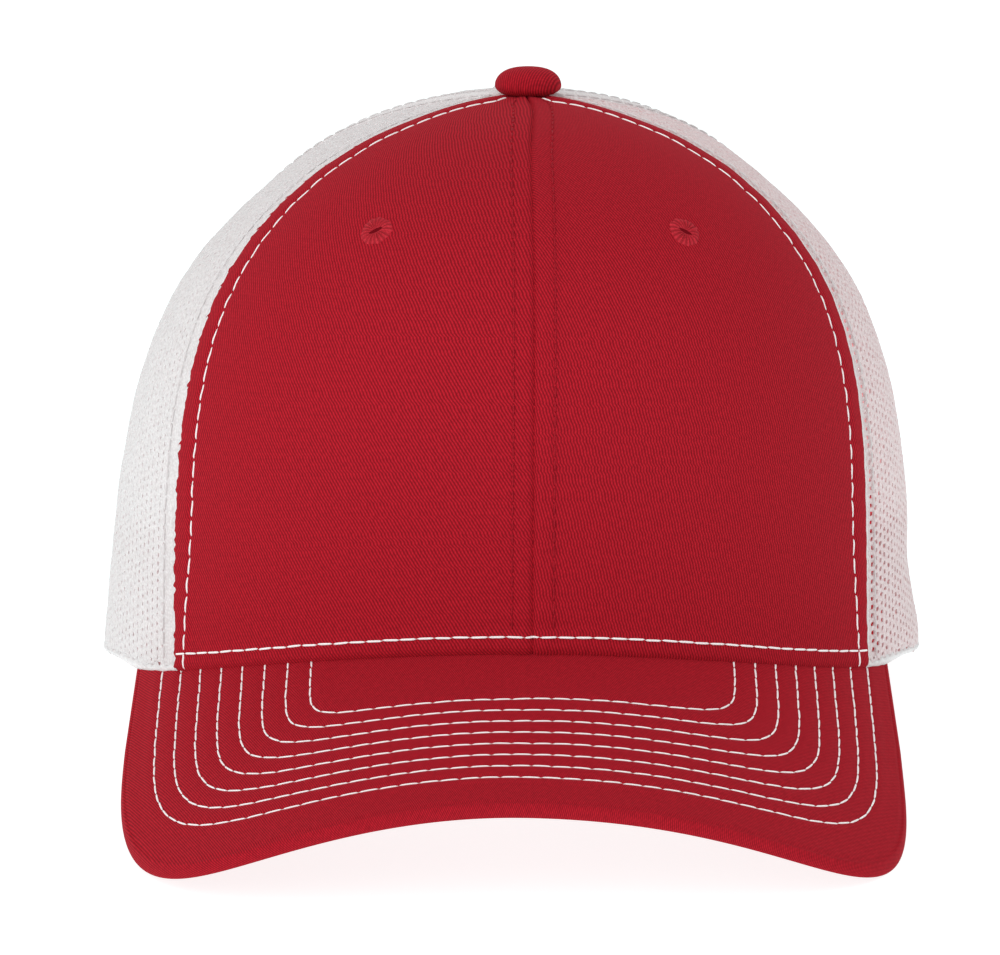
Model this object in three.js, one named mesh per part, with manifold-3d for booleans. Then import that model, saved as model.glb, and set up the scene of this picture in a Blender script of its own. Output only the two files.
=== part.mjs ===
import * as THREE from "three";
import { mergeVertices } from "three/addons/utils/BufferGeometryUtils.js";
import Module from "manifold-3d";

// A six panel trucker hat in millimetres. Every shape is worked out in the hat's own frame, with
// the crown's back rim level at z = 0 and the visor towards -Y. The last group then stands the
// hat on its visor tips and strap. Azimuths are in degrees from the front, positive towards +X.

const wasm = await Module();
wasm.setup();

// Crown: the outer surface. shoulder and close set how square the upright profile is, and
// lean how much it draws in on the way up.
const crown = {
  height: 131.8,
  halfWidth: 96.2,
  frontReach: 97,
  backReach: 99.3,
  topDrift: 2.9,
  front: { shoulder: 5.15, close: 2.19, lean: 0.05 },
  side: { shoulder: 4.15, close: 1.64, lean: 0.106 },
  back: { shoulder: 4.37, close: 2.4, lean: 0.03 },
};

// Soft dents and bulges of the cloth: a place on the crown, its spread and how far it moves out.
const dents = [
  { azimuth: -100, height: 0.93, wide: 30, tall: 0.06, push: 1.3 },
  { azimuth: 100, height: 0.93, wide: 30, tall: 0.06, push: 1.3 },
  { azimuth: -95, height: 0.8, wide: 30, tall: 0.07, push: -0.8 },
  { azimuth: 95, height: 0.8, wide: 30, tall: 0.07, push: -0.6 },
  { azimuth: 92, height: 0.18, wide: 18, tall: 0.06, push: -0.9 },
  { azimuth: 92, height: 0.04, wide: 18, tall: 0.05, push: 0.7 },
];

// Seams between the panels, which wander a little in azimuth from the rim to the button. hook is
// a last turn just below the button, which sits a little to one side.
const seams = {
  backCentreLeft: { rim: -177, top: -176, bow: 0, hook: 0 },
  backLeft: { rim: -117, top: -119, bow: 0, hook: 0 },
  frontLeft: { rim: -51.8, top: -62.2, bow: 0.5, hook: 0 },
  frontCentre: { rim: 3, top: 2.2, bow: 0, hook: 7 },
  frontRight: { rim: 58.2, top: 69.8, bow: -2.4, hook: 0 },
  backRight: { rim: 123, top: 125, bow: 0, hook: 0 },
  backCentreRight: { rim: 183, top: 184, bow: 0, hook: 0 },
};
const hookPower = 60;

// Cloth walls, and the gap that neighbouring pieces keep.
const twillWall = 1.6;
const netWall = 1.2;
const gap = 0.3;
const buttonHole = 3.8;

// Visor: a sheet bent across X and sloping down to the front, inside a rounded outline. The bend
// opens towards the front, where the corners droop, and the right corner is the fuller one.
const visor = {
  rootHeight: 18.67,
  bendRadius: 138.1,
  bendGrowth: 0.113,
  slopeMid: 0.31,
  slopeSide: 0.324,
  slopeSpan: 86,
  droop: 8.45,
  droopReach: 60,
  shift: 0.57,
  halfWidth: 86.5,
  rootTaper: 0.01,
  cornerStart: -76.5,
  frontBulge: 80,
  left: { squareAcross: 3.78, squareAlong: 3.18 },
  right: { squareAcross: 2.15, squareAlong: 4.72 },
  thickness: 3.6,
  roll: 0.9,
  endAzimuth: 67,
  tuck: 0.6,
  rimGap: 0.9,
};

// Beyond the visor the crown's rim eases down to the level back rim.
const rimEase = { from: 62, to: 97 };

// Opening over the strap at the back, cut through both back panels.
const arch = { centre: 183, halfWidth: 36, height: 46, square: 2.3 };

const sweatband = { thickness: 1.2, low: 0.6, high: 32, ends: 34.6 };
const strap = { thickness: 1.6, height: 17, halfAngle: 34, clear: 0.75 };
const button = { radius: 7.75, height: 6.4, stem: 1.6, stemDepth: 4, aside: 1.2 };
const eyelet = {
  ring: 4.3,
  hole: 1.4,
  thickness: 1.1,
  lift: 0.5,
  places: { left: { azimuth: -26.7, height: 0.8285 }, right: { azimuth: 31.1, height: 0.8236 } },
};

// How the hat stands: nose up by this angle, lifted and moved so that the box round it is
// centred on the origin.
const stand = { tilt: 5.694, lift: 9.673, back: 27.43, across: -0.22 };

const twill = { color: 0xb21e2b, roughness: 0.85, metalness: 0 };
const net = { color: 0xe9e6e5, roughness: 0.8, metalness: 0 };
const plastic = { color: 0xf2f1ee, roughness: 0.4, metalness: 0 };

const radians = THREE.MathUtils.degToRad;
const smooth = (t) => t * t * (3 - 2 * t);

// A profile value between its front, side and back settings.
function profileAt(azimuth, key) {
  const facing = Math.cos(radians(azimuth));
  const end = facing > 0 ? crown.front[key] : crown.back[key];
  return end * facing * facing + crown.side[key] * (1 - facing * facing);
}

function dentAt(azimuth, height) {
  return dents.reduce((sum, dent) => {
    const across = (azimuth - dent.azimuth) / dent.wide;
    const up = (height - dent.height) / dent.tall;
    return sum + dent.push * Math.exp(-across * across - up * up);
  }, 0);
}

// The crown's outer surface at an azimuth and a share of its height.
function crownSurface(azimuth, height) {
  const share = THREE.MathUtils.clamp(height, 0, 1);
  const angle = radians(azimuth);
  const reach = Math.cos(angle) > 0 ? crown.frontReach : crown.backReach;
  const closed = Math.max(0, 1 - share ** profileAt(azimuth, "shoulder"));
  const close = closed ** (1 / profileAt(azimuth, "close")) * (1 - profileAt(azimuth, "lean") * share);
  const push = dentAt(azimuth, share) * Math.min(1, close * 2);
  return new THREE.Vector3(
    Math.sin(angle) * (crown.halfWidth * close + push) + crown.topDrift * share ** 1.5,
    -Math.cos(angle) * (reach * close + push),
    crown.height * height,
  );
}

// The same surface moved out along its normal, or in where out is negative.
function crownPoint(azimuth, height, out) {
  const point = crownSurface(azimuth, height);
  if (out === 0) return point;
  const step = 0.002;
  const level = Math.min(height, 1 - 2 * step);
  const across = crownSurface(azimuth + 1, level).sub(crownSurface(azimuth - 1, level));
  const up = crownSurface(azimuth, level + step).sub(crownSurface(azimuth, level - step));
  return point.addScaledVector(across.cross(up).normalize(), out);
}

function visorHeight(x, y) {
  const away = x - visor.shift;
  const ahead = -y - crown.frontReach;
  const radius = visor.bendRadius + visor.bendGrowth * ahead;
  const sag = radius - Math.sqrt(radius ** 2 - away ** 2);
  const slope = visor.slopeMid + (visor.slopeSide - visor.slopeMid) * (away / visor.slopeSpan) ** 2;
  const drooping = (away / visor.slopeSpan) ** 4 * (Math.max(0, ahead) / visor.droopReach) ** 2;
  return visor.rootHeight - sag - slope * ahead - visor.droop * drooping;
}

function rimHeight(azimuth) {
  const turn = Math.abs(azimuth);
  const held = radians(Math.min(turn, rimEase.from)) * Math.sign(azimuth || 1);
  const onVisor = visorHeight(crown.halfWidth * Math.sin(held), -crown.frontReach * Math.cos(held));
  const eased = smooth(THREE.MathUtils.clamp((turn - rimEase.from) / (rimEase.to - rimEase.from), 0, 1));
  return (onVisor + visor.rimGap) * (1 - eased);
}

// Height of the surface that the hat stands on, in the hat's own frame.
function floorHeight(y) {
  const tilt = radians(stand.tilt);
  return (y * Math.sin(tilt) - stand.lift) / Math.cos(tilt);
}

// A closed solid through rings of equal length. A ring runs along one face and back along the
// other, so each end closes strip by strip between the two.
function loft(rings) {
  const count = rings[0].length;
  const at = (ring, i) => ring * count + (i % count);
  const index = [];
  const quad = (a, b, c, d) => index.push(a, b, c, a, c, d);
  for (let ring = 0; ring < rings.length - 1; ring++) {
    for (let i = 0; i < count; i++) {
      quad(at(ring, i), at(ring + 1, i), at(ring + 1, i + 1), at(ring, i + 1));
    }
  }
  const last = rings.length - 1;
  for (let i = 0; i < count / 2 - 1; i++) {
    const back = count - 1 - i;
    quad(at(0, i), at(0, i + 1), at(0, back - 1), at(0, back));
    quad(at(last, back), at(last, back - 1), at(last, i + 1), at(last, i));
  }
  const geometry = new THREE.BufferGeometry();
  const positions = rings.flat().flatMap((point) => point.toArray());
  geometry.setAttribute("position", new THREE.Float32BufferAttribute(positions, 3));
  geometry.setIndex(index);
  geometry.computeVertexNormals();
  return geometry;
}

// A curved wall on the crown. place turns u and v, both 0 to 1, into an azimuth and a height.
function crownWall(cells, place, faces) {
  const rings = [];
  for (let column = 0; column <= cells.across; column++) {
    const face = (out) =>
      Array.from({ length: cells.up + 1 }, (_, row) => {
        const { azimuth, height } = place(column / cells.across, row / cells.up);
        return crownPoint(azimuth, height, out);
      });
    rings.push([...face(faces.outer), ...face(faces.inner).reverse()]);
  }
  return loft(rings);
}

function seamAzimuth(seam, height) {
  const straight = seam.rim + (seam.top - seam.rim) * height;
  return straight + seam.bow * 4 * height * (1 - height) + seam.hook * height ** hookPower;
}

// Share of the height at which the crown has closed in to a radius.
function shareAtRadius(azimuth, radius) {
  const reach = crown.halfWidth * (1 - profileAt(azimuth, "lean"));
  const closed = (radius / reach) ** profileAt(azimuth, "close");
  return (1 - closed) ** (1 / profileAt(azimuth, "shoulder"));
}

// One panel between two seams, from the rim up to the small hole under the button.
function panelGeometry(from, to, wall) {
  return crownWall(
    { across: 14, up: 18 },
    (u, v) => {
      const guess = from.rim + (to.rim - from.rim) * u;
      const start = rimHeight(guess) / crown.height;
      const end = shareAtRadius(guess, buttonHole);
      const height = start + (end - start) * (1 - (1 - v) ** 2);
      const width = crownSurface(180, height).y - crownSurface(0, height).y;
      const inset = THREE.MathUtils.radToDeg(gap / width);
      const low = seamAzimuth(from, height) + inset;
      const high = seamAzimuth(to, height) - inset;
      return { azimuth: low + (high - low) * u, height };
    },
    { outer: 0, inner: -wall },
  );
}

// A closed geometry as a solid that can be cut, and back again.
function toSolid(geometry) {
  const bare = new THREE.BufferGeometry();
  bare.setAttribute("position", geometry.attributes.position);
  bare.setIndex(geometry.index);
  const merged = mergeVertices(bare, 1e-4);
  const vertProperties = new Float32Array(merged.attributes.position.array);
  const triVerts = new Uint32Array(merged.index.array);
  return new wasm.Manifold(new wasm.Mesh({ numProp: 3, vertProperties, triVerts }));
}

function toGeometry(solid) {
  const mesh = solid.getMesh();
  const geometry = new THREE.BufferGeometry();
  geometry.setAttribute("position", new THREE.BufferAttribute(mesh.vertProperties, 3));
  geometry.setIndex(new THREE.BufferAttribute(mesh.triVerts, 1));
  geometry.computeVertexNormals();
  return geometry;
}

// The visor's outline at t from -1 to 1, the left root end to the right one: a straight side,
// a rounded corner and the front edge. inset moves it in from the edge.
function visorOutline(t, inset) {
  const cornerShare = 0.8;
  const side = Math.sign(t) || 1;
  const { squareAcross, squareAlong } = side < 0 ? visor.left : visor.right;
  const halfWidth = visor.halfWidth - inset;
  const away = Math.abs(t);
  if (away > cornerShare) {
    const rootY = -crown.frontReach * Math.cos(radians(visor.endAzimuth));
    const along = (away - cornerShare) / (1 - cornerShare);
    const y = visor.cornerStart + (rootY - visor.cornerStart) * along;
    return { x: visor.shift + side * halfWidth * (1 - visor.rootTaper * along), y };
  }
  const fromMiddle = (away / cornerShare) ** (squareAcross / 2);
  const fromSide = (1 - away / cornerShare) ** (squareAlong / 2);
  const angle = (fromMiddle / (fromMiddle + fromSide)) * (Math.PI / 2);
  const across = Math.sin(angle) ** (2 / squareAcross);
  const forward = Math.cos(angle) ** (2 / squareAlong);
  return {
    x: visor.shift + side * halfWidth * across,
    y: visor.cornerStart - (visor.frontBulge - inset) * forward,
  };
}

// Each ring runs over the top from the edge to the root, and back along the underside.
function visorGeometry() {
  const slices = 52;
  const end = 0.97;
  const shares = [0, 0.06, 0.2, 0.36, 0.52, 0.68, 0.84, 1];
  const rings = [];
  for (let slice = 0; slice <= slices; slice++) {
    const t = end * (-1 + (2 * slice) / slices);
    const azimuth = radians(visor.endAzimuth * t);
    const root = {
      x: (crown.halfWidth - visor.tuck) * Math.sin(azimuth),
      y: -(crown.frontReach - visor.tuck) * Math.cos(azimuth),
    };
    const edge = visorOutline(t, 0);
    const rolled = visorOutline(t, -visor.roll);
    const at = (place, depth) =>
      new THREE.Vector3(place.x, place.y, visorHeight(place.x, place.y) - depth);
    const face = shares.map((share) => ({
      x: edge.x + (root.x - edge.x) * share,
      y: edge.y + (root.y - edge.y) * share,
    }));
    const top = face.map((place) => at(place, 0));
    const under = face.map((place) => at(place, visor.thickness)).reverse();
    const upperRoll = at(rolled, visor.thickness * 0.3);
    const lowerRoll = at(rolled, visor.thickness * 0.75);
    rings.push([upperRoll, ...top, ...under, lowerRoll]);
  }
  return loft(rings);
}

// A low dome with a rounded lower edge, on a stem that goes down through the crown.
function buttonGeometry() {
  const { radius, height, stem, stemDepth } = button;
  const profile = [new THREE.Vector2(0, -stemDepth), new THREE.Vector2(stem, -stemDepth)];
  profile.push(new THREE.Vector2(stem, gap));
  profile.push(new THREE.Vector2(radius * 0.8, gap));
  const steps = 10;
  for (let step = 0; step <= steps; step++) {
    const angle = (-0.35 + (1.35 * step) / steps) * (Math.PI / 2);
    const across = Math.cos(angle) ** 0.72 * radius;
    const waist = height * 0.38;
    const rise = Math.sin(angle) * (angle < 0 ? waist : height - waist);
    profile.push(new THREE.Vector2(step === steps ? 0 : across, waist + rise + gap * 0.5));
  }
  return lathe(profile, 28);
}

function eyeletGeometry() {
  const { ring, hole, thickness } = eyelet;
  const middle = (ring + hole) / 2;
  const profile = [];
  const points = 8;
  for (let i = 0; i < points; i++) {
    const angle = (2 * Math.PI * i) / points;
    const across = middle + ((ring - hole) / 2) * Math.cos(angle);
    profile.push(new THREE.Vector2(across, (thickness / 2) * Math.sin(angle)));
  }
  profile.push(profile[0].clone());
  return lathe(profile, 20);
}

// Turned about the Y of the lathe, then stood up to turn about Z.
function lathe(profile, segments) {
  return new THREE.LatheGeometry(profile, segments).rotateX(Math.PI / 2);
}

// A band inside the rim, from one side of the strap round the front to the other.
function sweatbandGeometry() {
  const from = arch.centre - 360 + sweatband.ends;
  const to = arch.centre - sweatband.ends;
  const outer = -(twillWall + gap);
  return crownWall(
    { across: 48, up: 3 },
    (u, v) => {
      const azimuth = from + (to - from) * u;
      const rim = rimHeight(azimuth);
      const rise = sweatband.low + (sweatband.high - sweatband.low) * v;
      return { azimuth, height: (rim + rise) / crown.height };
    },
    { outer, inner: outer - sweatband.thickness },
  );
}

// The adjuster strap: its lower edge is flat where it rests.
function strapGeometry() {
  const outer = -(twillWall + gap);
  const geometry = crownWall(
    { across: 20, up: 2 },
    (u, v) => ({
      azimuth: arch.centre + strap.halfAngle * (2 * u - 1),
      height: (strap.height * v) / crown.height,
    }),
    { outer, inner: outer - strap.thickness },
  );
  const places = geometry.attributes.position;
  for (let i = 0; i < places.count; i++) {
    const isLowEdge = places.getZ(i) < gap;
    if (isLowEdge) places.setZ(i, Math.max(floorHeight(places.getY(i)), -strap.clear));
  }
  return geometry;
}

// The arched opening as a solid that runs out through the back.
function archSolid() {
  const steps = 28;
  const below = -5;
  const depth = 80;
  const outline = new THREE.Shape();
  outline.moveTo(-arch.halfWidth, below);
  outline.lineTo(arch.halfWidth, below);
  for (let step = 0; step <= steps; step++) {
    const angle = (Math.PI * step) / steps;
    const across = Math.sign(Math.cos(angle)) * Math.abs(Math.cos(angle)) ** (2 / arch.square);
    const up = Math.abs(Math.sin(angle)) ** (2 / arch.square);
    outline.lineTo(arch.halfWidth * across, arch.height * up);
  }
  const geometry = new THREE.ExtrudeGeometry(outline, { depth, bevelEnabled: false });
  geometry.rotateX(Math.PI / 2);
  geometry.translate(0, crown.backReach + depth / 2, 0);
  geometry.rotateZ(radians(arch.centre - 180));
  return toSolid(geometry);
}

function backPanelGeometry(from, to) {
  return toGeometry(toSolid(panelGeometry(from, to, netWall)).subtract(archSolid()));
}

// Stands a shape made along Z on the crown's surface.
function onCrown(object, { azimuth, height }, out) {
  const at = crownPoint(azimuth, height, out);
  const normal = crownPoint(azimuth, height, 1).sub(crownSurface(azimuth, height));
  object.position.copy(at);
  object.quaternion.setFromUnitVectors(new THREE.Vector3(0, 0, 1), normal.normalize());
  object.updateMatrix();
  return object;
}

// A front panel with the round hole that its eyelet is sewn round.
function frontPanelGeometry(from, to, place) {
  const depth = 12;
  const cutter = onCrown(new THREE.Object3D(), place, 0);
  const hole = new THREE.CylinderGeometry(eyelet.hole, eyelet.hole, depth, 16);
  hole.rotateX(Math.PI / 2).applyMatrix4(cutter.matrix);
  return toGeometry(toSolid(panelGeometry(from, to, twillWall)).subtract(toSolid(hole)));
}

function piece(name, geometry, surface) {
  const mesh = new THREE.Mesh(geometry, new THREE.MeshStandardMaterial(surface));
  mesh.name = name;
  return mesh;
}

function frontPanels() {
  const { left, right } = eyelet.places;
  const leftWall = frontPanelGeometry(seams.frontLeft, seams.frontCentre, left);
  const rightWall = frontPanelGeometry(seams.frontCentre, seams.frontRight, right);
  return [piece("front_panel_left", leftWall, twill), piece("front_panel_right", rightWall, twill)];
}

function netPanels() {
  return [
    piece("side_panel_left", panelGeometry(seams.backLeft, seams.frontLeft, netWall), net),
    piece("side_panel_right", panelGeometry(seams.frontRight, seams.backRight, netWall), net),
    piece("back_panel_left", backPanelGeometry(seams.backCentreLeft, seams.backLeft), net),
    piece("back_panel_right", backPanelGeometry(seams.backRight, seams.backCentreRight), net),
  ];
}

function trims() {
  const top = piece("top_button", buttonGeometry(), twill);
  top.position.set(crown.topDrift + button.aside, 0, crown.height);
  const eyelets = Object.entries(eyelet.places).map(([side, place]) =>
    onCrown(piece("eyelet_" + side, eyeletGeometry(), twill), place, eyelet.lift + gap),
  );
  return [top, ...eyelets];
}

const hat = new THREE.Group();
hat.add(...frontPanels(), ...netPanels(), ...trims());
hat.add(piece("visor", visorGeometry(), twill));
hat.add(piece("sweatband", sweatbandGeometry(), twill));
hat.add(piece("snap_strap", strapGeometry(), plastic));
hat.rotation.x = -radians(stand.tilt);
hat.position.set(stand.across, stand.back, stand.lift);

const part = new THREE.Group();
part.add(hat);

export default part;
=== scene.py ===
import math
import bmesh
import bpy
import numpy as np
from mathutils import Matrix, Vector


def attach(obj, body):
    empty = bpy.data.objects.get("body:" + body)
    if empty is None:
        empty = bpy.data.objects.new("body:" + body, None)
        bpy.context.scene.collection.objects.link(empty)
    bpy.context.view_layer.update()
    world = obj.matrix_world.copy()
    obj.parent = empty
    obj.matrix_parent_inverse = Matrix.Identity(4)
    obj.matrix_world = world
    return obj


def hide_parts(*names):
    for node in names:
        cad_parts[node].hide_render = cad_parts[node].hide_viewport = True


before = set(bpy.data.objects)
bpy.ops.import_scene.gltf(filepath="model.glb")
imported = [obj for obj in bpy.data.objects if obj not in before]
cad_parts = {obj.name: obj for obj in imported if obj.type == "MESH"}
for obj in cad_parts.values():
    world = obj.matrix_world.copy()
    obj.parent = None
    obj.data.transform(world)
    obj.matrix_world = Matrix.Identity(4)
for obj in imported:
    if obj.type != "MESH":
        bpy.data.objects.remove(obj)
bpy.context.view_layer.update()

mm = 0.001

# The hat's own frame has the crown's back rim level at z = 0 and the visor towards -Y, in
# millimetres. These sizes are the ones that the solids were made from, apart from the visor's
# thickness, which leaves room for the cloth's roll.
crown = {
    "height": 131.8, "halfWidth": 96.2, "frontReach": 97.0, "backReach": 99.3, "topDrift": 2.9,
    "front": {"shoulder": 5.15, "close": 2.19, "lean": 0.05},
    "side": {"shoulder": 4.15, "close": 1.64, "lean": 0.106},
    "back": {"shoulder": 4.37, "close": 2.4, "lean": 0.03},
}
dents = [  # azimuth, height share, spread across, spread up, push out
    (-100, 0.93, 30, 0.06, 1.3),
    (100, 0.93, 30, 0.06, 1.3),
    (-95, 0.8, 30, 0.07, -0.8),
    (95, 0.8, 30, 0.07, -0.6),
    (92, 0.18, 18, 0.06, -0.9),
    (92, 0.04, 18, 0.05, 0.7),
]
seams = {  # azimuth at the rim and at the button, the bow between them and the hook at the button
    "backCentreLeft": (-177, -176, 0, 0),
    "backLeft": (-117, -119, 0, 0),
    "frontLeft": (-51.8, -62.2, 0.5, 0),
    "frontCentre": (3, 2.2, 0, 7),
    "frontRight": (58.2, 69.8, -2.4, 0),
    "backRight": (123, 125, 0, 0),
    "backCentreRight": (183, 184, 0, 0),
}
visor = {
    "rootHeight": 18.67, "bendRadius": 138.1, "bendGrowth": 0.113, "slopeMid": 0.31, "slopeSide": 0.324,
    "slopeSpan": 86.0, "droop": 8.45, "droopReach": 60.0, "shift": 0.57, "halfWidth": 86.5,
    "rootTaper": 0.01, "cornerStart": -76.5, "frontBulge": 80.0,
    "squareAcross": (3.78, 2.15), "squareAlong": (3.18, 4.72),  # at the left corner, at the right one
    "thickness": 3.35, "roll": 0.9, "endAzimuth": 67.0, "rimGap": 0.9,
}
rimEase = (62.0, 97.0)
arch = {"centre": 183.0, "halfWidth": 36.0, "height": 46.0, "square": 2.3}
stand = {"tilt": 5.694, "lift": 9.673, "back": 27.43, "across": -0.22}


def onRest(points):
    tilt = -math.radians(stand["tilt"])
    points = np.asarray(points, float)
    x, y, z = points[..., 0], points[..., 1], points[..., 2]
    turned = np.stack([
        x + stand["across"],
        y * math.cos(tilt) - z * math.sin(tilt) + stand["back"],
        y * math.sin(tilt) + z * math.cos(tilt) + stand["lift"],
    ], -1)
    return turned * mm


def profileAt(azimuth, key):
    facing = np.cos(np.radians(azimuth))
    end = np.where(facing > 0, crown["front"][key], crown["back"][key])
    return end * facing ** 2 + crown["side"][key] * (1 - facing ** 2)


def crownSurface(azimuth, height):
    share = np.clip(height, 0, 1)
    angle = np.radians(azimuth)
    reach = np.where(np.cos(angle) > 0, crown["frontReach"], crown["backReach"])
    closed = np.maximum(0, 1 - share ** profileAt(azimuth, "shoulder"))
    close = closed ** (1 / profileAt(azimuth, "close")) * (1 - profileAt(azimuth, "lean") * share)
    push = 0
    for place, level, wide, tall, out in dents:
        push = push + out * np.exp(-((azimuth - place) / wide) ** 2 - ((share - level) / tall) ** 2)
    push = push * np.minimum(1, close * 2)
    x = np.sin(angle) * (crown["halfWidth"] * close + push) + crown["topDrift"] * share ** 1.5
    y = -np.cos(angle) * (reach * close + push)
    return np.stack(np.broadcast_arrays(x, y, crown["height"] * np.asarray(height, float)), -1)


def crownPoint(azimuth, height, out):
    azimuth, height, out = np.broadcast_arrays(azimuth, height, out)
    azimuth = azimuth.astype(float)
    height = height.astype(float)
    step = 0.002
    level = np.minimum(height, 1 - 2 * step)
    across = crownSurface(azimuth + 1, level) - crownSurface(azimuth - 1, level)
    up = crownSurface(azimuth, level + step) - crownSurface(azimuth, level - step)
    normal = np.cross(across, up)
    normal /= np.linalg.norm(normal, axis=-1, keepdims=True)
    return crownSurface(azimuth, height) + normal * out[..., None]


def seamAzimuth(seam, height):
    rim, top, bow, hook = seams[seam]
    height = np.asarray(height, float)
    straight = rim + (top - rim) * height
    return straight + bow * 4 * height * (1 - height) + hook * np.clip(height, 0, 1) ** 60


def visorHeight(x, y):
    away = x - visor["shift"]
    ahead = -y - crown["frontReach"]
    radius = visor["bendRadius"] + visor["bendGrowth"] * ahead
    sag = radius - np.sqrt(radius ** 2 - away ** 2)
    slope = visor["slopeMid"] + (visor["slopeSide"] - visor["slopeMid"]) * (away / visor["slopeSpan"]) ** 2
    drooping = (away / visor["slopeSpan"]) ** 4 * (np.maximum(ahead, 0) / visor["droopReach"]) ** 2
    return visor["rootHeight"] - sag - slope * ahead - visor["droop"] * drooping


def rimHeight(azimuth):
    turn = np.abs(azimuth)
    held = np.radians(np.minimum(turn, rimEase[0])) * np.sign(azimuth)
    onVisor = visorHeight(crown["halfWidth"] * np.sin(held), -crown["frontReach"] * np.cos(held))
    share = np.clip((turn - rimEase[0]) / (rimEase[1] - rimEase[0]), 0, 1)
    return (onVisor + visor["rimGap"]) * (1 - share * share * (3 - 2 * share))


def shareAtRadius(azimuth, radius):
    reach = crown["halfWidth"] * (1 - profileAt(azimuth, "lean"))
    closed = (radius / reach) ** profileAt(azimuth, "close")
    return (1 - closed) ** (1 / profileAt(azimuth, "shoulder"))


# A corner of unequal squareness: shares across and forward, evenly spread from middle to side.
def roundCorner(share, squareAcross, squareAlong):
    fromMiddle = share ** (squareAcross / 2)
    fromSide = (1 - share) ** (squareAlong / 2)
    angle = fromMiddle / (fromMiddle + fromSide) * (math.pi / 2)
    return np.sin(angle) ** (2 / squareAcross), np.maximum(np.cos(angle), 0) ** (2 / squareAlong)


# Plan outline of the visor with t from -1 to 1 round it, moved out by reach.
def visorOutline(t, reach=0.0):
    cornerShare = 0.8
    side = np.where(t < 0, -1.0, 1.0)
    squareAcross = np.where(t < 0, *visor["squareAcross"])
    squareAlong = np.where(t < 0, *visor["squareAlong"])
    halfWidth = visor["halfWidth"] + reach
    rootY = -crown["frontReach"] * math.cos(math.radians(visor["endAzimuth"]))
    away = np.abs(t) / cornerShare
    along = np.clip((np.abs(t) - cornerShare) / (1 - cornerShare), 0, 1)
    across, forward = roundCorner(np.minimum(away, 1), squareAcross, squareAlong)
    straight = visor["cornerStart"] + (rootY - visor["cornerStart"]) * along
    curved = visor["cornerStart"] - (visor["frontBulge"] + reach) * forward
    x = visor["shift"] + side * halfWidth * np.where(away > 1, 1 - visor["rootTaper"] * along, across)
    return x, np.where(away > 1, straight, curved)


# The stitch rows lie closer together at the sides than a plain inset of the edge would put them.
# Row 0 is the outermost one, and each value is for row 0 with its change per row after it. The
# inset's third value goes with the square of the row's number.
rowShape = {
    "left": {"inset": (6.58, 4.58, 0.06), "start": (-51.3, -4.0), "across": (2.98, -0.137),
             "along": (5.76, 0.54)},
    "right": {"inset": (5.52, 4.09, 0.06), "start": (-50.0, -1.68), "across": (2.06, -0.125),
              "along": (6.74, 0.59)},
    "front": (-146.4, 4.56),
}


# Half width, corner start, depth and the two exponents of row number k on one side.
def rowSizes(side, k):
    shape = rowShape[side]
    inset, more, most = shape["inset"]
    half = visor["halfWidth"] - (inset + more * k + most * k * k)
    start = shape["start"][0] + shape["start"][1] * k
    depth = start - rowShape["front"][0] - rowShape["front"][1] * k
    across = shape["across"][0] + shape["across"][1] * k
    along = shape["along"][0] + shape["along"][1] * k
    return half, start, depth, across, along


# The row number at a place on the visor, with fractions between the rows.
def rowAt(x, y):
    away = x - visor["shift"]
    found = {}
    for side in ("left", "right"):
        low = np.full(np.shape(away), -2.4)
        high = np.full(np.shape(away), 8.0)
        for _ in range(26):
            middle = (low + high) / 2
            half, start, depth, across, along = rowSizes(side, middle)
            ahead = np.maximum(start - y, 0)
            inside = (np.abs(away) / half) ** across + (ahead / depth) ** along < 1
            low = np.where(inside, middle, low)
            high = np.where(inside, high, middle)
        found[side] = low
    return np.where(away < 0, found["left"], found["right"])


def rowLine(k):
    lines = []
    for side, sign in (("left", -1.0), ("right", 1.0)):
        half, start, depth, across, along = rowSizes(side, k)
        sideways, forward = roundCorner(np.linspace(0, 1, 400), across, along)
        x = visor["shift"] + sign * half * sideways
        y = start - depth * forward
        straight = np.linspace(start, -36, 60)[1:]
        x = np.concatenate([x, np.full(len(straight), x[-1])])
        y = np.concatenate([y, straight])
        lines.append(np.stack([x, y], 1))
    whole = np.concatenate([lines[0][::-1], lines[1][1:]])
    lengths = np.concatenate([[0], np.cumsum(np.hypot(*np.diff(whole, axis=0).T))])
    even = np.linspace(0, lengths[-1], 700)
    return np.interp(even, lengths, whole[:, 0]), np.interp(even, lengths, whole[:, 1])


def clear():
    if bpy.context.mode != "OBJECT":
        bpy.ops.object.mode_set(mode="OBJECT")
    bpy.ops.object.select_all(action="DESELECT")


def activate(piece):
    clear()
    piece.select_set(True)
    bpy.context.view_layer.objects.active = piece


def selectFaces():
    bpy.ops.mesh.select_all(action="SELECT")


def fillHoles():
    bpy.ops.mesh.fill_holes(sides=0)


def faceOutward():
    bpy.ops.mesh.normals_make_consistent(inside=False)


# The steps run one after the other on the piece's mesh, and the first one has all of it selected.
def editMesh(piece, *steps):
    activate(piece)
    bpy.ops.object.mode_set(mode="EDIT")
    selectFaces()
    for step in steps:
        step()
    bpy.ops.object.mode_set(mode="OBJECT")


def finishShape(piece, name, *materials, angle=60):
    activate(piece)
    piece.name = name
    piece.data.name = name
    for material in materials:
        piece.data.materials.append(material)
    bpy.ops.object.transform_apply(location=True, rotation=True, scale=True)
    bpy.ops.object.shade_smooth_by_angle(angle=math.radians(angle))
    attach(piece, "root")


def pointsOf(mesh):
    points = np.empty(len(mesh.vertices) * 3)
    mesh.vertices.foreach_get("co", points)
    return points.reshape(-1, 3)


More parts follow.
